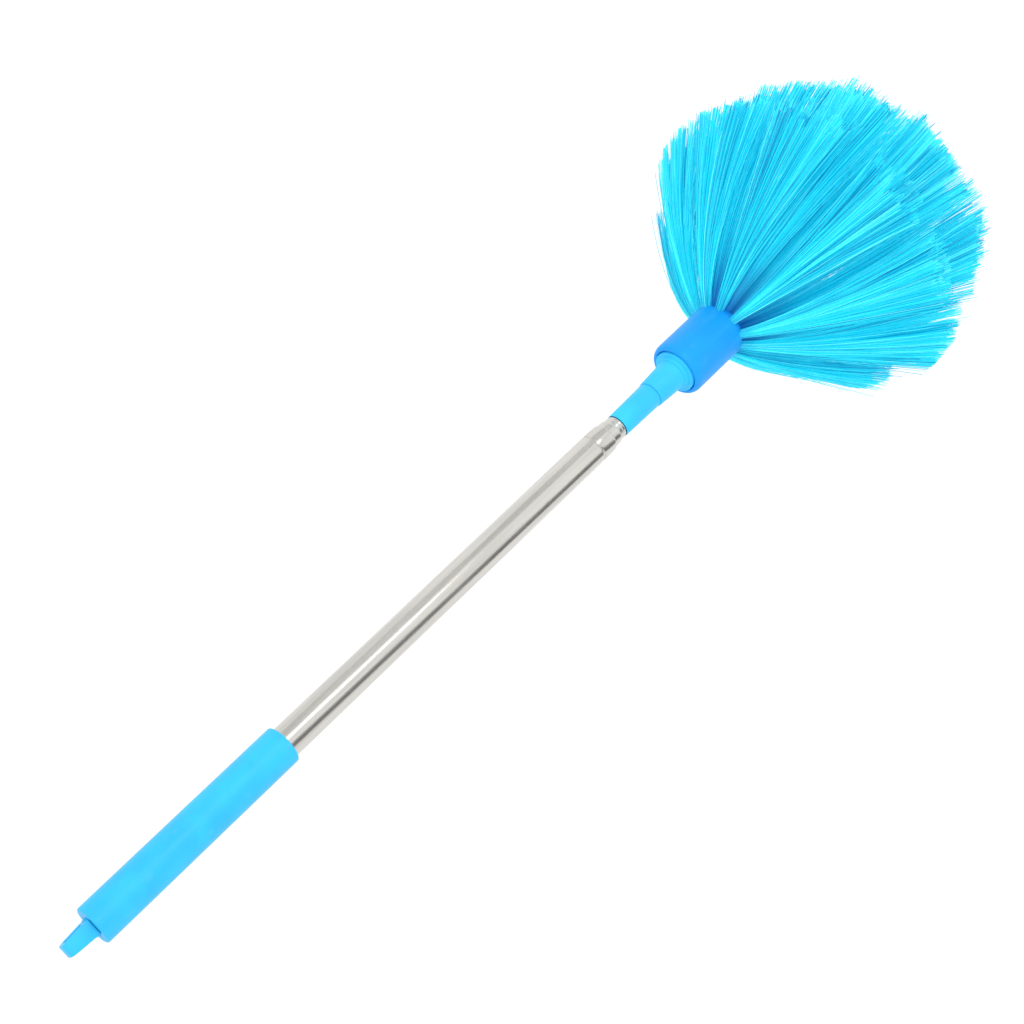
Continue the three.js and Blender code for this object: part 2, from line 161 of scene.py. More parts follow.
class Finish:
    """A material and the nodes that give it its colour, gloss and grain."""

    def __init__(self, name):
        self.material = bpy.data.materials.new(name)
        self.material.use_nodes = True
        self.tree = self.material.node_tree
        self.shader = self.tree.nodes["Principled BSDF"]

    def feed(self, socket, value):
        if isinstance(value, Field):
            self.tree.links.new(value.socket, socket)
        else:
            socket.default_value = value

    def add(self, kind, settings=None, values=None, output=0):
        """Adds a node: its settings first, then the values or links of its sockets."""
        node = self.tree.nodes.new(kind)
        for key, value in (settings or {}).items():
            setattr(node, key, value)
        for key, value in (values or {}).items():
            self.feed(node.inputs[key], value)
        return Field(self, node.outputs[output])

    def noise(self, scale, stretch=(1, 1, 1), detail=3.0):
        """Noise on the object's own coordinates, with that many features to the metre."""
        place = self.add("ShaderNodeTexCoord", output=3)
        mapped = self.add("ShaderNodeMapping", None, {"Vector": place, "Scale": stretch})
        values = {"Vector": mapped, "Scale": scale, "Detail": detail}
        return self.add("ShaderNodeTexNoise", None, values)

    def spread(self, field, low, high, to_low=0.0, to_high=1.0):
        """Stretches the range low to high of a field over to_low to to_high, and clamps it."""
        values = {0: field, 1: low, 2: high, 3: to_low, 4: to_high}
        return self.add("ShaderNodeMapRange", None, values)

    def mix(self, share, first, second):
        """Two colours mixed by a field."""
        values = {0: share}
        for key, colour in ((6, first), (7, second)):
            values[key] = colour if isinstance(colour, Field) else (*colour, 1.0)
        return self.add("ShaderNodeMix", {"data_type": "RGBA"}, values, output=2)

    def bump(self, height, distance, strength):
        values = {"Height": height, "Distance": distance, "Strength": strength}
        return self.add("ShaderNodeBump", None, values)

    def surface(self, **sockets):
        """Feeds the shader's sockets, named with underscores for spaces."""
        for key, value in sockets.items():
            self.feed(self.shader.inputs[key.replace("_", " ")], value)
        return self.material


def shade(colour, factor):
    return tuple(min(1.0, channel * factor) for channel in colour)


def moulded_finish(name, colour, roughness, rubbed=0.0):
    """Moulded plastic: a fine pebbled skin, slow cloudiness, and rub marks along the piece."""
    finish = Finish(name)
    cloud = finish.spread(finish.noise(38, detail=2.0), 0.35, 0.65)
    pebble = finish.noise(2100, detail=2.0)
    marks = finish.spread(finish.noise(900, (1, 1, 0.03), 4.0), 0.52, 0.78)
    scuffs = finish.spread(finish.noise(160, (1, 1, 0.35), 5.0), 0.62, 0.74)
    tint = finish.mix(cloud, shade(colour, 0.93), shade(colour, 1.05))
    worn = finish.mix(scuffs * (0.10 + rubbed), tint, tuple(0.82 * c + 0.18 for c in colour))
    return finish.surface(
        Base_Color=worn,
        Roughness=roughness + 0.10 * cloud + rubbed * marks,
        Normal=finish.bump(pebble + 0.6 * rubbed * marks, 0.035 * MM, 0.5),
        Specular_IOR_Level=0.3,
    )


def steel_finish(colour):
    """Drawn and polished stainless tube: fine lines along it, smudges and a few scratches."""
    finish = Finish("polished_stainless")
    drawn = finish.noise(3200, (1, 1, 0.006), 3.0)
    bands = finish.spread(finish.noise(260, (1, 1, 0.04), 2.0), 0.38, 0.62)
    smudge = finish.spread(finish.noise(45, (1, 1, 0.5), 3.0), 0.4, 0.7)
    scratch = finish.spread(finish.noise(1400, (1, 0.3, 0.05), 6.0), 0.64, 0.70)
    return finish.surface(
        Base_Color=finish.mix(bands, shade(colour, 0.88), colour),
        Metallic=1.0,
        Roughness=0.13 + 0.07 * smudge + 0.05 * drawn + 0.14 * scratch,
        Normal=finish.bump(drawn + 0.5 * scratch, 0.008 * MM, 0.5),
    )


def bristle_finish(colour):
    """Synthetic filaments: each its own tint, with painted shade in deep blue at a tuft's root, and a
    painted glow.
    """
    finish = Finish("bristle_filament")
    strand = finish.add("ShaderNodeAttribute", {"attribute_name": "strand"}, output=2)
    shelter = finish.add("ShaderNodeAttribute", {"attribute_name": "shelter"}, output=2)
    streak = finish.spread(finish.noise(700, (1, 1, 0.2), 2.0), 0.3, 0.7)
    dark = linear(0, 132, 184)
    pale = linear(112, 250, 252)
    # deep blue of the painted shade at the tufts' roots, where the tufts shade each other
    painted_shade_blue = linear(0, 62, 172)
    body = finish.mix(finish.spread(strand, 0.12, 0.45), dark, colour)
    body = finish.mix(finish.spread(strand, 0.6, 0.95), body, pale)
    # painted shade: the deep blue laid over each filament's root
    shade_painted_body = finish.mix(shelter, body, painted_shade_blue)
    tint = finish.mix(0.2 * streak, shade_painted_body, dark)
    return finish.surface(
        Base_Color=tint,
        Roughness=0.36 + 0.14 * streak,
        # painted glow: the filaments give off a quarter of their tint as light of their own, standing for
        # light passing through them
        Emission_Color=tint,
        Emission_Strength=0.25,
        Specular_IOR_Level=0.35,
    )


def lock_finish(name, colour, roughness):
    """Plain moulded nylon of the pieces inside the pole, with sink marks and fine grain."""
    finish = Finish(name)
    grain = finish.noise(1500, detail=3.0)
    sink = finish.spread(finish.noise(120, detail=2.0), 0.3, 0.7)
    return finish.surface(
        Base_Color=finish.mix(sink, shade(colour, 0.9), colour),
        Roughness=roughness + 0.12 * grain,
        Normal=finish.bump(grain, 0.03 * MM, 0.4),
    )


GRIP_SHADE = 0.92              # the grip's blue against that of the fittings
MATERIALS = {}


def material(key):
    """A finish by name, made when it is first asked for."""
    colours = bpy.context.scene.duster_colours
    makers = {
        "grip": lambda: moulded_finish(
            "sky_blue_moulding", shade(colours.grip, GRIP_SHADE), 0.34, rubbed=0.07),
        "adapter": lambda: moulded_finish("sky_blue_fitting", tuple(colours.grip), 0.40),
        "hub": lambda: moulded_finish("azure_moulding", tuple(colours.hub), 0.42),
        "steel": lambda: steel_finish(tuple(colours.steel)),
        "bristle": lambda: bristle_finish(tuple(colours.bristle)),
        "bush": lambda: lock_finish("natural_nylon", linear(228, 230, 226), 0.45),
        "lock": lambda: lock_finish("grey_nylon", linear(82, 88, 94), 0.5),
    }
    if key not in MATERIALS:
        MATERIALS[key] = makers[key]()
    return MATERIALS[key]


# ------------------------------------------------------------------ modelling helpers

def start_fresh():
    if bpy.context.object and bpy.context.object.mode != "OBJECT":
        bpy.ops.object.mode_set(mode="OBJECT")
    bpy.ops.object.select_all(action="DESELECT")


def apply_place(obj):
    """Moves an object's place, turn and scale into its mesh."""
    start_fresh()
    obj.select_set(True)
    bpy.context.view_layer.objects.active = obj
    bpy.ops.object.transform_apply(location=True, rotation=True, scale=True)


def edit(obj, kind="VERT"):
    start_fresh()
    obj.select_set(True)
    bpy.context.view_layer.objects.active = obj
    bpy.ops.object.mode_set(mode="EDIT")
    bpy.ops.mesh.select_mode(type=kind)
    bpy.ops.mesh.select_all(action="DESELECT")


def select_where(obj, test, kind="edges"):
    """Selects in edit mode the edges or faces whose vertices all pass a test of their place."""
    bpy.ops.object.mode_set(mode="OBJECT")
    vertices = obj.data.vertices
    for element in getattr(obj.data, "polygons" if kind == "faces" else "edges"):
        element.select = all(test(vertices[i].co) for i in element.vertices)
    bpy.ops.object.mode_set(mode="EDIT")


def modify(obj, kind, **settings):
    """Adds a modifier with its settings and applies it."""
    start_fresh()
    obj.select_set(True)
    bpy.context.view_layer.objects.active = obj
    modifier = obj.modifiers.new(kind.title(), kind)
    for key, value in settings.items():
        setattr(modifier, key, value)
    bpy.ops.object.modifier_apply(modifier=modifier.name)
    return obj


def round_edges(obj, radius, segments=2):
    return modify(obj, "BEVEL", width=radius, segments=segments, limit_method="ANGLE",
                  angle_limit=SMOOTH_ANGLE, use_clamp_overlap=True)


def shade_smooth(obj):
    start_fresh()
    obj.select_set(True)
    bpy.context.view_layer.objects.active = obj
    bpy.ops.object.shade_smooth_by_angle(angle=SMOOTH_ANGLE)


def arc(radius, depth, across, along, first, last, steps=8):
    """Points of a quarter ellipse, its angle measured from outwards towards the brush, in degrees."""
    angles = [math.radians(first + (last - first) * i / steps) for i in range(steps + 1)]
    return [(radius + across * math.cos(a), depth + along * math.sin(a)) for a in angles]


def turned(name, top, outline):
    """A turned piece. The outline is a closed loop of (radius, depth below top) points. It starts
    on the axis, where the piece is solid there, or away from it for a ring."""
    on_axis = outline[0][0] == 0
    points = outline[1:-1] if on_axis else [*outline, outline[0]]
    radius, depth = points[0]
    start_fresh()
    bpy.ops.mesh.primitive_circle_add(
        vertices=SIDES, radius=radius, location=(0, 0, top - depth),
        fill_type="TRIFAN" if on_axis else "NOTHING")
    obj = bpy.context.object
    obj.name = name
    apply_place(obj)
    edit(obj, "EDGE")
    select_where(obj, lambda place: math.hypot(place.x, place.y) > radius / 2)
    for wide, deep in points[1:]:
        bpy.ops.mesh.extrude_region_move(TRANSFORM_OT_translate={"value": (0, 0, depth - deep)})
        if wide != radius:
            bpy.ops.transform.resize(value=(wide / radius, wide / radius, 1))
        radius, depth = wide, deep
    if on_axis:
        rise = depth - outline[-1][1]
        bpy.ops.mesh.extrude_region_move(TRANSFORM_OT_translate={"value": (0, 0, rise)})
        bpy.ops.mesh.merge(type="CENTER")
    bpy.ops.mesh.select_all(action="SELECT")
    bpy.ops.mesh.remove_doubles(threshold=MERGE_DISTANCE)
    bpy.ops.mesh.normals_make_consistent(inside=False)
    bpy.ops.object.mode_set(mode="OBJECT")
    return obj


def finish_piece(obj, key, body, slot, *nodes, radius=None):
    """Rounds a piece's edges, smooths it and puts it in its CAD nodes' place on their body."""
    if radius:
        round_edges(obj, radius)
    shade_smooth(obj)
    obj.data.materials.clear()
    obj.data.materials.append(material(key))
    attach(obj, body)
    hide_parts(*nodes)
    return obj


def sizes():
    return bpy.context.scene.duster_sizes


def box(node):
    """A node's greatest radius, its top and its length along the pole."""
    low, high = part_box(node)
    return high.x, high.z, high.z - low.z


# ------------------------------------------------------------------ grip and loop

GRIP_END_WALL = 4 * MM
GRIP_EDGE = 1.6 * MM
LOOP_NECK = 7.7 * MM
STRAP = 4 * MM
STRAP_WIDTH = 20 * MM          # across the two legs
STRAP_BREADTH = 13 * MM        # along the eye, at the grip
STRAP_TIP_CORNER = 6.5 * MM
STRAP_TAPER = 10 / 13          # breadth at the tip against the breadth at the grip
STRAP_EDGE = 0.8 * MM
CORNER_STEPS = 10
NEAR_SIDE = 0.49               # share of a block's width past which a corner is on its side
PLUG_DEPTH = 16 * MM
PLUG_OVERLAP = 1 * MM          # of the neck with the plug


class DUSTER_OT_grip(bpy.types.Operator):
    """Model the moulded grip sleeve, closed but for the loop's neck at its top"""

    bl_idname = "duster.grip"
    bl_label = "Grip Sleeve"

    def execute(self, context):
        radius, top, length = box("grip_sleeve")
        bore = box("outer_tube")[0] + CLEARANCE
        hole = LOOP_NECK + CLEARANCE
        obj = turned("moulded_grip", top, [
            (hole, 0),
            *arc(radius - GRIP_EDGE, GRIP_EDGE, GRIP_EDGE, GRIP_EDGE, -90, 0),
            *arc(radius - GRIP_EDGE, length - GRIP_EDGE, GRIP_EDGE, GRIP_EDGE, 0, 90),
            (bore, length),
            (bore, GRIP_END_WALL),
            (hole, GRIP_END_WALL),
        ])
        finish_piece(obj, "grip", "handle", "sky_blue_plastic", "grip_sleeve")
        return {"FINISHED"}


class DUSTER_OT_loop(bpy.types.Operator):
    """Model the hang loop: a tapered strap with an eye, and the plug that holds it in the pole"""

    bl_idname = "duster.loop"
    bl_label = "Hang Loop"

    def block(self, name, breadth, width, low, high, taper, corner):
        """A block whose top is narrowed along X and rounded at both corners."""
        start_fresh()
        bpy.ops.mesh.primitive_cube_add(
            size=1, location=(0, 0, (low + high) / 2), scale=(breadth, width, high - low))
        obj = bpy.context.object
        obj.name = name
        apply_place(obj)
        edit(obj, "FACE")
        select_where(obj, lambda place: place.z > high - MERGE_DISTANCE, "faces")
        bpy.ops.transform.resize(value=(taper, 1, 1))
        bpy.ops.mesh.select_mode(type="EDGE")
        for side in (-1, 1):
            bpy.ops.mesh.select_all(action="DESELECT")
            select_where(obj, lambda place: place.z > high - MERGE_DISTANCE
                         and place.y * side > width * NEAR_SIDE)
            bpy.ops.mesh.bevel(offset=corner, segments=CORNER_STEPS, affect="EDGES")
        bpy.ops.object.mode_set(mode="OBJECT")
        return obj

    def execute(self, context):
        _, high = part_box("end_loop")
        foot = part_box("grip_sleeve")[1].z + CLEARANCE
        strap = self.block("hang_loop", STRAP_BREADTH, STRAP_WIDTH, foot, high.z,
                           STRAP_TAPER, STRAP_TIP_CORNER)
        eye = self.block("eye_cut", 2 * STRAP_BREADTH, STRAP_WIDTH - 2 * STRAP,
                         foot + STRAP, high.z - STRAP, 1, STRAP_TIP_CORNER - STRAP)
        modify(strap, "BOOLEAN", operation="DIFFERENCE", object=eye, solver="EXACT")
        bpy.data.objects.remove(eye)
        round_edges(strap, STRAP_EDGE, segments=3)
        tube_radius, tube_top, _ = box("outer_tube")
        plug_radius = tube_radius - sizes().tube_wall - CLEARANCE
        for radius, start, end in ((LOOP_NECK, foot + STRAP / 2, tube_top - PLUG_OVERLAP),
                                   (plug_radius, tube_top, tube_top - PLUG_DEPTH)):
            start_fresh()
            bpy.ops.mesh.primitive_cylinder_add(
                vertices=SIDES // 2, radius=radius, depth=start - end,
                location=(0, 0, (start + end) / 2))
            core = bpy.context.object
            apply_place(core)
            modify(strap, "BOOLEAN", operation="UNION", object=core, solver="EXACT")
            bpy.data.objects.remove(core)
        finish_piece(strap, "grip", "handle", "sky_blue_plastic", "end_loop")
        return {"FINISHED"}


# ------------------------------------------------------------------ pole

MOUTH_LIP = 0.5 * MM
ROLL_END = 84                  # degrees through which a tube's nose is rolled in
OUTER_NOSE = 9 * MM
MIDDLE_NOSE = 5 * MM
GROOVE_SETBACK = 15.5 * MM
GROOVE_DEPTH = 0.6 * MM
GROOVE_HALF = 1.3 * MM
RIDGE_HEIGHT = 0.4 * MM
RIDGE_PITCH = 2.7 * MM
RIDGE_STEPS = 8


class DUSTER_OT_tubes(bpy.types.Operator):
    """Model the three steel sections: rolled noses, the rolled groove and the ridges"""

    bl_idname = "duster.tubes"
    bl_label = "Steel Tubes"

    def groove(self, radius, depth):
        """A rolled groove: one wave of a cosine cut into a wall."""
        steps = [i / RIDGE_STEPS for i in range(RIDGE_STEPS + 1)]
        return [(radius - GROOVE_DEPTH * (1 - math.cos(2 * math.pi * s)) / 2,
                 depth + GROOVE_HALF * (2 * s - 1)) for s in steps]

    def ridge(self, radius, depth):
        """A rolled ridge: one wave of a cosine standing out of a wall."""
        steps = [i / RIDGE_STEPS for i in range(RIDGE_STEPS + 1)]
        return [(radius + RIDGE_HEIGHT * (1 - math.cos(2 * math.pi * s)) / 2,
                 depth + RIDGE_PITCH / 2 * (2 * s - 1)) for s in steps]

    def execute(self, context):
        wall = sizes().tube_wall
        outer, top, length = box("outer_tube")
        middle, middle_top, middle_length = box("middle_tube")
        inner, inner_top, inner_length = box("inner_tube")
        inner -= RIDGE_HEIGHT
        bore = middle + CLEARANCE
        lip = bore + MOUTH_LIP
        shell = turned("outer_section", top, [
            (outer, 0),
            *self.groove(outer, length - GROOVE_SETBACK),
            *arc(lip, length - OUTER_NOSE, outer - lip, OUTER_NOSE, 0, ROLL_END, 14),
            (lip, length), (bore, length),
            (outer - wall, length - OUTER_NOSE), (outer - wall, 0),
        ])
        finish_piece(shell, "steel", "handle", "polished_steel", "outer_tube")
        bore = inner + CLEARANCE
        lip = bore + MOUTH_LIP
        shell = turned("middle_section", middle_top, [
            (middle, 0),
            *arc(lip, middle_length - MIDDLE_NOSE, middle - lip, MIDDLE_NOSE, 0, ROLL_END, 10),
            (lip, middle_length), (bore, middle_length),
            (middle - wall, middle_length - MIDDLE_NOSE), (middle - wall, 0),
        ])
        finish_piece(shell, "steel", "middle_section", "polished_steel", "middle_tube")
        first = inner_top - (middle_top - middle_length) + RIDGE_PITCH
        shell = turned("inner_section", inner_top, [
            (inner, 0),
            *self.ridge(inner, first),
            *self.ridge(inner, first + RIDGE_PITCH)[1:],
            (inner, inner_length), (inner - wall, inner_length), (inner - wall, 0),
        ])
        finish_piece(shell, "steel", "inner_section", "polished_steel", "inner_tube")
        return {"FINISHED"}


# ------------------------------------------------------------------ sleeve, adapter, hub

SCREW_RADIUS = 6 * MM
SCREW_LENGTH = 14 * MM
THREAD_PITCH = 2 * MM
THREAD_DEPTH = 0.7 * MM
THREAD_ROOT = 0.1              # place of the thread's root in each turn
THREAD_CREST = 0.5             # place of its crest
SLEEVE_EDGE = 0.25 * MM
SLEEVE_FLARE = 0.8 * MM
SLEEVE_SLIM = 0.3 * MM         # the sleeve's end is slimmer than its CAD solid by this
SLEEVE_CAP = 9 * MM
ADAPTER_START = 11.6 * MM
ADAPTER_TAPER = 28 * MM
ADAPTER_FLARE = 1.6 * MM
STEP_RADIUS = 15.5 * MM
STEP_HEIGHT = 3 * MM
STEP_FILLET = 1.2 * MM
FLANGE_HEIGHT = 6 * MM
SPIGOT_RADIUS = 13 * MM
HUB_EDGE_DEEP = 6 * MM
LIP_INNER = 1.5 * MM           # rounding of the lip towards the recess
HUB_RECESS = 4.7 * MM          # depth of the recess that the flange sits in
HUB_BODY = 58 * MM             # length of the hub's cylinder, from its top to its shoulder
DOME_RISE = 16 * MM
SOCKET_DEPTH = 28.7 * MM


class DUSTER_OT_sleeve(bpy.types.Operator):
    """Model the end sleeve of the pole and the threaded stud that the brush turns onto"""

    bl_idname = "duster.sleeve"
    bl_label = "End Sleeve"

    def execute(self, context):
        wide, top, length = box("tube_end_sleeve")
        inner = box("inner_tube")[0] - RIDGE_HEIGHT
        end = length - SCREW_LENGTH
        thread = []
        for i in range(int(SCREW_LENGTH / THREAD_PITCH)):
            start = end + i * THREAD_PITCH
            thread += [(SCREW_RADIUS - THREAD_DEPTH, start + THREAD_ROOT * THREAD_PITCH),
                       (SCREW_RADIUS, start + THREAD_CREST * THREAD_PITCH)]
        obj = turned("end_sleeve", top, [
            (0, end - SLEEVE_CAP),
            (inner + CLEARANCE, end - SLEEVE_CAP),
            (inner + CLEARANCE, 0),
            (wide - SLEEVE_SLIM - SLEEVE_FLARE, 0),
            (wide - SLEEVE_SLIM, end),
            *thread,
            (SCREW_RADIUS - THREAD_DEPTH, length),
            (0, length),
        ])
        finish_piece(obj, "adapter", "inner_section", "sky_blue_plastic", "tube_end_sleeve",
                     radius=SLEEVE_EDGE)
        return {"FINISHED"}


class DUSTER_OT_adapter(bpy.types.Operator):
    """Model the tapered adapter with its stepped flange and the spigot inside the hub"""

    bl_idname = "duster.adapter"
    bl_label = "Head Adapter"

    def execute(self, context):
        flange, top, length = box("head_adapter")
        bore = SCREW_RADIUS + CLEARANCE
        taper_end = ADAPTER_START + ADAPTER_FLARE
        step = ADAPTER_TAPER
        face = step + STEP_HEIGHT
        hollow = taper_end + STEP_FILLET
        bulge = arc(hollow, step - STEP_FILLET, STEP_FILLET, STEP_FILLET, 0, 90, 5)
        obj = turned("head_adapter_moulding", top, [
            (0, SCREW_LENGTH),
            (bore, SCREW_LENGTH),
            (bore, 0),
            (ADAPTER_START, 0),
            (taper_end, step - STEP_FILLET),
            *[(2 * hollow - wide, deep) for wide, deep in bulge[1:]],
            (STEP_RADIUS, step),
            (STEP_RADIUS, face),
            (flange, face),
            (flange, face + FLANGE_HEIGHT),
            (SPIGOT_RADIUS, face + FLANGE_HEIGHT),
            (SPIGOT_RADIUS, length),
            (0, length),
        ])
        finish_piece(obj, "adapter", "brush_head", "sky_blue_plastic", "head_adapter",
                     radius=sizes().edge_radius)
        return {"FINISHED"}


# ------------------------------------------------------------------ bristle rings

ROOT_RADIUS = 3 * MM
TIP_RADIUS = 17 * MM
SEAT_DEPTH = 4 * MM
SEAT_SINK = 0.5 * MM           # of a seat's floor below its tuft
SEAT_FLOOR = ROOT_RADIUS - 0.3 * MM   # a seat's radius at its floor
SEAT_MOUTH = ROOT_RADIUS + 0.6 * MM   # and at the far end of its cutter
SEAT_SIDES = 20
BEND = 0.42                    # place of a tuft's bend, as a share of its length
TIP_HEIGHT = 252 * MM          # of the middle ring's free ends, past the hub's cylinder
RINGS = (                      # rim to middle; wall, out and down in millimetres, tilt in degrees
    {"count": 10, "wall": 2.6, "tilt": 3, "out": 10, "down": 34, "widens": False},
    {"count": 9, "wall": 1.9, "tilt": 2, "out": 32, "down": 13, "widens": False},
    {"count": 6, "wall": 1.2, "tilt": 0, "out": 12, "down": 23, "widens": True},
    {"count": 3, "wall": 1.97, "tilt": 1, "out": 2, "down": 0, "widens": True},
)


def dome():
    """The dome's radius, and how far its centre lies below the hub's top."""
    hub = box("hub")[0]
    radius = (hub ** 2 + DOME_RISE ** 2) / (2 * DOME_RISE)
    return radius, HUB_BODY + DOME_RISE - radius


def placed_rings():
    """Each ring's seat and lean, and its free ends' radius and height, listed from the rim. They are
    worked out from the middle outwards."""
    radius, _ = dome()
    placed = []
    seat, out, height = 0.0, 0.0, TIP_HEIGHT
    for ring in reversed(RINGS):
        pitch = 2 * ROOT_RADIUS + ring["wall"] * MM
        if placed:
            seat += pitch / radius
        else:
            seat = math.asin(pitch / 2 / math.sin(math.pi / ring["count"]) / radius)
        out += ring["out"] * MM + (2 * TIP_RADIUS if ring["widens"] else 0)
        height -= ring["down"] * MM + (0 if ring["widens"] else 2 * TIP_RADIUS)
        placed.insert(0, {"count": ring["count"], "seat": seat, "out": out, "height": height,
                          "lean": seat - math.radians(ring["tilt"])})
    return placed


def tuft_line(ring, index):
    """Root, bend and tip of a tuft's middle line, and its first direction."""
    _, top, _ = box("hub")
    radius, centre = dome()
    turn = 2 * math.pi * (index + 0.5) / ring["count"]

    def at(out, depth):
        return Vector((out * math.cos(turn), -out * math.sin(turn), -depth))

    above = Vector((0, 0, top))
    towards = at(math.sin(ring["lean"]), math.cos(ring["lean"]))
    mouth = above + at(radius * math.sin(ring["seat"]), centre + radius * math.cos(ring["seat"]))
    root = mouth - SEAT_DEPTH * towards
    tip = above + at(ring["out"], HUB_BODY + ring["height"])
    return root, root + towards * BEND * (tip - root).length, tip, towards


class DUSTER_OT_hub(bpy.types.Operator):
    """Model the hub: socket, recess with a rounded lip, and the dome drilled for the tufts"""

    bl_idname = "duster.hub"
    bl_label = "Hub"

    def cutters(self):
        """All tuft seats as one body of countersunk cones."""
        cones = []
        for ring in placed_rings():
            for index in range(ring["count"]):
                root, _, _, towards = tuft_line(ring, index)
                depth = 2 * SEAT_DEPTH
                start_fresh()
                bpy.ops.mesh.primitive_cone_add(
                    vertices=SEAT_SIDES, radius1=SEAT_FLOOR, radius2=SEAT_MOUTH, depth=depth,
                    location=root + towards * (depth / 2 - SEAT_SINK),
                    rotation=towards.to_track_quat("Z", "Y").to_euler())
                cones.append(bpy.context.object)
        start_fresh()
        for cone in cones:
            cone.select_set(True)
        bpy.context.view_layer.objects.active = cones[0]
        bpy.ops.object.join()
        return cones[0]

    def execute(self, context):
        radius, top, length = box("hub")
        socket = SPIGOT_RADIUS + CLEARANCE
        recess = box("head_adapter")[0] + 2 * CLEARANCE
        lip = recess + LIP_INNER
        dome_radius, centre = dome()
        shoulder = math.degrees(math.asin((HUB_BODY - centre) / dome_radius))
        obj = turned("hub_moulding", top, [
            (0, SOCKET_DEPTH),
            (socket, SOCKET_DEPTH),
            (socket, HUB_RECESS),
            (recess, HUB_RECESS),
            *arc(lip, LIP_INNER, LIP_INNER, LIP_INNER, 180, 270, 6),
            *arc(lip, HUB_EDGE_DEEP, radius - recess - LIP_INNER, HUB_EDGE_DEEP, -90, 0, 12)[1:],
            (radius, HUB_BODY),
            *arc(0, centre, dome_radius, dome_radius, shoulder, 90, 20)[1:-1],
            (0, length),
        ])
        cutter = self.cutters()
        modify(obj, "BOOLEAN", operation="DIFFERENCE", object=cutter, solver="EXACT", use_self=True)
        bpy.data.objects.remove(cutter)
        finish_piece(obj, "hub", "brush_head", "azure_plastic", "hub")
        return {"FINISHED"}


FILAMENT_STEPS = 7
FILAMENT_CORNERS = 3
TIP_TAPER = 0.75               # a filament's thickness at its cut end against its root
ROOT_SPREAD = 2.5 * MM         # of the filaments where the tuft is stapled in
BEND_SPREAD = 0.21             # how far a fan has opened where its filaments bend
DOME_POWER = 2.8               # of the superellipse that the brush is cut to; 2 would be an ellipse
DOME_SHARE = 0.55              # how far a tuft's flat cut is curved to the dome
WIDEST = 0.1490                # radius that no free end passes
PRESSED = math.radians(12)     # how far the rim tufts of the worn side, towards -X, lean in
PRESSED_ENDS = 0.35            # share of that lean at their free ends
ANGLE_SPREAD = 0.012           # in radians, of the tufts along the dome
SIDE_SPREAD = 2.5 * MM         # of the tufts round the axis
LENGTH_SPREAD = 0.026          # of the tufts' lengths, as a share
LENGTH_LIMITS = (-0.05, 0.022)
WAVE = 0.9 * MM                # how unevenly the filaments leave their curves at mid-length
INNER_PAINTED_SHADE = (0.9, 0.34)    # strength of the painted shade, deep blue at a tuft's root, and the share of length it reaches
# the same painted root shade, weaker and shorter, on the rim row
RIM_PAINTED_SHADE = (0.35, 0.1)
DOWNWARDS = np.array([0.0, 0.0, -1.0])

# Below, a width is a share of the fan's half width, and a length is in units of the raggedness.
CLUMPS = 34                    # bunches that a tuft's filaments cling together in
CLUMP_SPREAD = 0.062
FAN_SQUARENESS = 0.7           # of the bunches' layout; 0 is round and 1 is square
FAN_FILL = 0.93
LOOSE = 0.25                   # share of filaments that keep to no bunch
LOOSE_FILL = 0.97
STRAYS = 0.04                  # share of filaments that stand away from their place
STRAY_SPREAD = 0.16
STRAY_LENGTHS = (-1, 2.2)
BUNCH_LENGTHS = 0.8
FILAMENT_LENGTHS = 0.3
SHORT = 0.08                   # share of filaments cut short
SHORTEST = 9
BUNCH_TINT = 0.45              # a bunch's part in its filaments' tint
FILAMENT_TINT = 0.55           # and each filament's own part


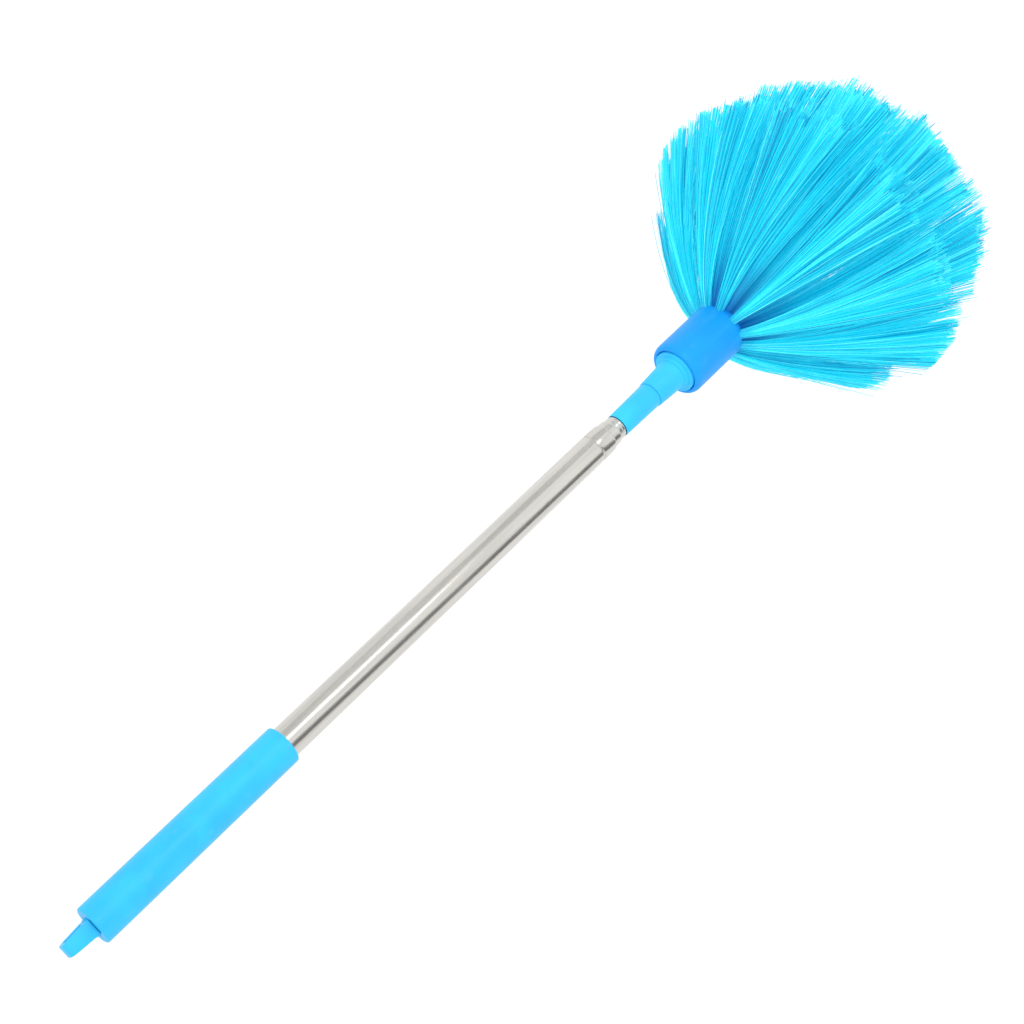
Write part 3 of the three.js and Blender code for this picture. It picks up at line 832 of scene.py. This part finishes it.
class DUSTER_OT_bristles(bpy.types.Operator):
    """Model every tuft as a fan of separate cut filaments"""

    bl_idname = "duster.bristles"
    bl_label = "Bristle Tufts"

    def filament(self):
        """The model filament: a three-sided rod of unit radius and length along Z."""
        start_fresh()
        bpy.ops.mesh.primitive_cylinder_add(
            vertices=FILAMENT_CORNERS, radius=1, depth=1, location=(0, 0, 0.5), end_fill_type="NGON")
        obj = bpy.context.object
        apply_place(obj)
        for step in range(1, FILAMENT_STEPS):
            edit(obj, "EDGE")
            bpy.ops.mesh.select_all(action="SELECT")
            bpy.ops.mesh.bisect(plane_co=(0, 0, step / FILAMENT_STEPS), plane_no=(0, 0, 1))
        bpy.ops.object.mode_set(mode="OBJECT")
        places = np.array([v.co for v in obj.data.vertices])
        faces = [list(p.vertices) for p in obj.data.polygons]
        bpy.data.objects.remove(obj)
        return places, faces

    def cut(self, ends):
        """Moves ends, measured from the hub's shoulder, along their own line onto the cut dome."""
        settings = sizes()
        length = np.linalg.norm(ends, axis=-1, keepdims=True)
        radius = np.hypot(ends[..., 0], ends[..., 1])[..., None] / length
        depth = np.abs(ends[..., 2:]) / length
        inside = ((radius / settings.brush_radius) ** DOME_POWER
                  + (depth / settings.brush_depth) ** DOME_POWER)
        return ends / length * inside ** (-1 / DOME_POWER)

    def fan(self, random):
        """Each filament's place in its fan, from -1 to 1 each way, its extra length and its tint."""
        count = sizes().filaments
        bunch = random.integers(0, CLUMPS, count)
        angle = random.uniform(0, 2 * np.pi, CLUMPS)
        out = np.sqrt(random.uniform(0, 1, CLUMPS))
        middle = np.stack([out * np.cos(angle), out * np.sin(angle)], 1)
        widest = np.maximum(np.abs(np.cos(angle)), np.abs(np.sin(angle)))[:, None]
        middle /= widest ** FAN_SQUARENESS
        free = middle[bunch] * FAN_FILL + random.normal(0, CLUMP_SPREAD, (count, 2))
        loose = random.uniform(0, 1, count) < LOOSE
        free[loose] = random.uniform(-LOOSE_FILL, LOOSE_FILL, (loose.sum(), 2))
        stray = random.uniform(0, 1, count) < STRAYS
        free[stray] += random.normal(0, STRAY_SPREAD, (stray.sum(), 2))
        longer = random.normal(0, 1, CLUMPS)[bunch] * BUNCH_LENGTHS
        longer += random.normal(0, FILAMENT_LENGTHS, count)
        longer[stray] += random.uniform(*STRAY_LENGTHS, stray.sum())
        short = random.uniform(0, 1, count) < SHORT
        longer[short] -= random.uniform(0, SHORTEST, short.sum())
        tint = BUNCH_TINT * random.uniform(0, 1, CLUMPS)[bunch]
        tint += FILAMENT_TINT * random.uniform(0, 1, count)
        return free, longer, tint

    def curves(self, line, inner, free, longer, random):
        """Root, bend and free end of every filament of a fan, and the fan's sideways direction."""
        settings = sizes()
        root, bend, tip, towards = (np.array(p) for p in line)
        shoulder = np.array([0, 0, box("hub")[1] - HUB_BODY])
        length = np.linalg.norm(tip - root)
        across = np.cross(DOWNWARDS, towards)
        across /= np.linalg.norm(across)
        outward = np.cross(across, DOWNWARDS)
        pressed = 0.0 if inner else PRESSED * max(0.0, -outward[0])
        if pressed:
            lean = math.acos(-towards[2]) - pressed
            towards = outward * math.sin(lean) + DOWNWARDS * math.cos(lean)
            bend = root + towards * BEND * length
        end = tip - shoulder
        angle = math.atan2(math.hypot(end[0], end[1]), -end[2]) - PRESSED_ENDS * pressed
        angle += random.normal(0, ANGLE_SPREAD)
        middle = self.cut(outward * math.sin(angle) + DOWNWARDS * math.cos(angle))
        middle = middle * (1 + np.clip(random.normal(0, LENGTH_SPREAD), *LENGTH_LIMITS))
        middle = middle + across * random.normal(0, SIDE_SPREAD)
        outwards_on_dome = outward * math.cos(angle) - DOWNWARDS * math.sin(angle)
        spread = (free[:, :1] * settings.fan_across * across
                  + free[:, 1:] * settings.fan_along * outwards_on_dome)
        flat = middle + spread
        ends = flat + DOME_SHARE * (self.cut(flat) - flat)
        ends *= np.linalg.norm(middle) / np.linalg.norm(self.cut(middle))
        ends *= 1 + (longer * settings.raggedness / np.linalg.norm(ends, axis=1))[:, None]
        ends *= np.minimum(1, WIDEST / np.hypot(ends[:, 0], ends[:, 1]))[:, None]
        lift = np.cross(towards, across)
        roots = root + ROOT_SPREAD * (free[:, :1] * across - free[:, 1:] * lift)
        return roots, bend + BEND_SPREAD * spread, shoulder + ends, across

    def sweep(self, first, second, third, across, places, random):
        """The model filament's vertices laid along every filament's curve."""
        share = places[None, :, 2:]
        line = ((1 - share) ** 2 * first[:, None] + 2 * share * (1 - share) * second[:, None]
                + share ** 2 * third[:, None])
        along = (1 - share) * (second - first)[:, None] + share * (third - second)[:, None]
        along /= np.linalg.norm(along, axis=2, keepdims=True)
        upwards = np.cross(along, across)
        upwards /= np.linalg.norm(upwards, axis=2, keepdims=True)
        sideways = np.cross(upwards, along)
        wave = random.normal(0, WAVE, (len(first), 1, 2)) * np.sin(np.pi * share)
        spin = random.uniform(0, 2 * np.pi, (len(first), 1))
        thick = sizes().filament_radius * (1 + (TIP_TAPER - 1) * share[..., 0])
        x, y = places[None, :, 0], places[None, :, 1]
        right = thick * (x * np.cos(spin) - y * np.sin(spin)) + wave[..., 0]
        up = thick * (x * np.sin(spin) + y * np.cos(spin)) + wave[..., 1]
        return line + right[..., None] * sideways + up[..., None] * upwards

    def tuft(self, name, line, inner, places, faces, random):
        """A tuft's mesh: the model filament copied over its fan, and what its finish reads."""
        free, longer, tint = self.fan(random)
        first, second, third, across = self.curves(line, inner, free, longer, random)
        points = self.sweep(first, second, third, across, places, random)
        stride = len(places)
        loops = [[i + k * stride for i in face] for k in range(len(free)) for face in faces]
        mesh = bpy.data.meshes.new(name)
        mesh.from_pydata(points.reshape(-1, 3).tolist(), [], loops)
        strength, reach = INNER_PAINTED_SHADE if inner else RIM_PAINTED_SHADE
        # painted shade: deep blue at each filament's root, fading along its length, standing for the shade
        # between the tufts
        shelter = strength * np.clip(1 - places[:, 2] / reach, 0, 1)
        for key, values in (("strand", np.repeat(tint, stride)), ("shelter", np.tile(shelter, len(free)))):
            layer = mesh.attributes.new(key, "FLOAT", "POINT")
            layer.data.foreach_set("value", values.astype(np.float32))
        return mesh

    def execute(self, context):
        places, faces = self.filament()
        for row, ring in enumerate(placed_rings(), 1):
            for index in range(ring["count"]):
                number = f"row{row}_{index + 1:02d}"
                random = np.random.default_rng(1000 * row + index)
                name = "bristles_" + number
                mesh = self.tuft(name, tuft_line(ring, index), row > 1, places, faces, random)
                obj = bpy.data.objects.new(name, mesh)
                context.scene.collection.objects.link(obj)
                finish_piece(obj, "bristle", "brush_head", "bristle", "tuft_" + number)
        return {"FINISHED"}


# ------------------------------------------------------------------ pieces inside the pole

class DUSTER_OT_locks(bpy.types.Operator):
    """Give the guide bushes and twist locks inside the pole their finishes"""

    bl_idname = "duster.locks"
    bl_label = "Bushes and Locks"

    def execute(self, context):
        for name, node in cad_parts.items():
            if node.hide_render:
                continue
            if name.endswith("_bush") or name.endswith("_cone"):
                key, slot = "bush", "bush_plastic"
            elif "_lock_" in name:
                key, slot = "lock", "lock_plastic"
            else:
                raise RuntimeError(f"no finish is named for {name}")
            node.data.materials.clear()
            node.data.materials.append(material(key))
        return {"FINISHED"}


# ------------------------------------------------------------------ stage

FLOOR_DROP = 0.75              # of the floor below the brush
FLOOR_SIZE = 60
CARD_LEVEL = -0.9              # height of a card's middle
CARD_LENGTH = 2.2
LIGHT_AIM = Vector((0, 0, -0.5))
VIEW_LENS = 64.3
VIEW_TILT = math.radians(26.2)
VIEW_ROLL = math.radians(-133.45)
VIEW_TURN = math.radians(5.5)
VIEW_DISTANCE = 1.4055
VIEW_AIM = Vector((0, 0, -0.456))
VIEW_SHIFT = (0.0056, -0.00591)


class DUSTER_OT_stage(bpy.types.Operator):
    """Lay the floor, hang the soft lights and cards, and set the camera"""

    bl_idname = "duster.stage"
    bl_label = "Stage"

    def floor(self):
        start_fresh()
        level = CAD_BOX[0].z - FLOOR_DROP
        bpy.ops.mesh.primitive_plane_add(size=FLOOR_SIZE, location=(0, 0, level))
        obj = bpy.context.object
        obj.name = "floor"
        apply_place(obj)
        finish = Finish("studio_floor")
        grey = finish.spread(finish.noise(2, detail=1.0), 0.3, 0.7, 0.95, 0.97)
        colour = finish.add("ShaderNodeCombineColor", None, {0: grey, 1: grey, 2: grey})
        obj.data.materials.append(finish.surface(
            Base_Color=colour, Roughness=0.9, Emission_Color=(1, 1, 1, 1), Emission_Strength=0.1))

    def around(self, degrees, distance, height):
        """A place round the pole, its angle measured from the camera's side towards -X."""
        angle = math.radians(degrees)
        return Vector((-math.sin(angle) * distance, -math.cos(angle) * distance, height))

    def light(self, name, place, width, height, watts):
        """A soft light that faces the pole's middle."""
        data = bpy.data.lights.new(name, "AREA")
        data.shape = "RECTANGLE"
        data.size, data.size_y = width, height
        data.energy = watts
        obj = bpy.data.objects.new(name, data)
        obj.location = place
        obj.rotation_euler = (LIGHT_AIM - place).to_track_quat("-Z", "Y").to_euler()
        obj.visible_camera = False
        bpy.context.scene.collection.objects.link(obj)

    def card(self, name, degrees, distance, width, grey, slant=0.0):
        """A grey card beside the pole that only reflections see, slanted by some degrees."""
        start_fresh()
        bpy.ops.mesh.primitive_plane_add(
            size=1, location=self.around(degrees, distance, CARD_LEVEL),
            rotation=(math.pi / 2, math.radians(slant), math.radians(-degrees)))
        obj = bpy.context.object
        obj.name = name
        obj.scale = (width, CARD_LENGTH, 1)
        apply_place(obj)
        finish = Finish(name)
        obj.data.materials.append(finish.surface(Base_Color=(grey, grey, grey, 1), Roughness=0.9))
        obj.visible_camera = obj.visible_diffuse = obj.visible_shadow = False
        obj.visible_transmission = False

    def execute(self, context):
        self.floor()
        world = bpy.data.worlds.new("studio")
        world.use_nodes = True
        background = world.node_tree.nodes["Background"]
        background.inputs["Color"].default_value = (1.0, 1.0, 1.0, 1.0)
        background.inputs["Strength"].default_value = 1.0
        context.scene.world = world
        self.light("key", self.around(-20, 1.6, 0.9), width=1.2, height=1.2, watts=6)
        self.light("strip", self.around(-16, 1.1, -0.55), width=0.16, height=0.9, watts=1.8)
        self.card("dark_card", degrees=57, distance=0.95, width=0.17, grey=0.2, slant=34)
        self.card("soft_card", degrees=54, distance=1.0, width=0.54, grey=0.38, slant=34)
        self.card("grey_card", degrees=-54, distance=1.0, width=0.8, grey=0.76)
        camera = bpy.data.cameras.new("camera")
        camera.lens = VIEW_LENS
        camera.clip_end = 200
        obj = bpy.data.objects.new("camera", camera)
        spin = Matrix.Rotation(VIEW_TURN, 3, "Z")
        turn = (spin @ Euler((math.pi / 2 - VIEW_TILT, 0, 0)).to_matrix()
                @ Matrix.Rotation(VIEW_ROLL, 3, "Z"))
        back = turn @ Vector((-VIEW_SHIFT[0], -VIEW_SHIFT[1], VIEW_DISTANCE))
        obj.matrix_world = Matrix.Translation(VIEW_AIM + back) @ turn.to_4x4()
        context.scene.collection.objects.link(obj)
        context.scene.camera = obj
        context.scene.view_settings.view_transform = "Standard"
        return {"FINISHED"}


# ------------------------------------------------------------------ add-on

STEPS = (DUSTER_OT_stage, DUSTER_OT_grip, DUSTER_OT_loop, DUSTER_OT_tubes, DUSTER_OT_sleeve,
         DUSTER_OT_adapter, DUSTER_OT_hub, DUSTER_OT_bristles, DUSTER_OT_locks)


class DUSTER_PT_panel(bpy.types.Panel):
    """The duster's sizes, colours and pieces"""

    bl_idname = "DUSTER_PT_panel"
    bl_label = "Ceiling Duster"
    bl_space_type = "VIEW_3D"
    bl_region_type = "UI"
    bl_category = "Duster"

    def draw(self, context):
        for group in (context.scene.duster_sizes, context.scene.duster_colours):
            column = self.layout.column(align=True)
            for name in group.bl_rna.properties.keys():
                if name not in ("rna_type", "name"):
                    column.prop(group, name)
        column = self.layout.column(align=True)
        for step in STEPS:
            column.operator(step.bl_idname)


CLASSES = (DusterSizes, DusterColours, *STEPS, DUSTER_PT_panel)


def register():
    for cls in CLASSES:
        bpy.utils.register_class(cls)
    bpy.types.Scene.duster_sizes = PointerProperty(type=DusterSizes)
    bpy.types.Scene.duster_colours = PointerProperty(type=DusterColours)


def unregister():
    del bpy.types.Scene.duster_colours
    del bpy.types.Scene.duster_sizes
    for cls in reversed(CLASSES):
        bpy.utils.unregister_class(cls)


def main():
    """Registers the add-on and makes the whole duster, one step after another."""
    register()
    for step in STEPS:
        group, name = step.bl_idname.split(".")
        getattr(getattr(bpy.ops, group), name)()
    bpy.context.view_layer.update()


if __name__ == "__main__":
    main()
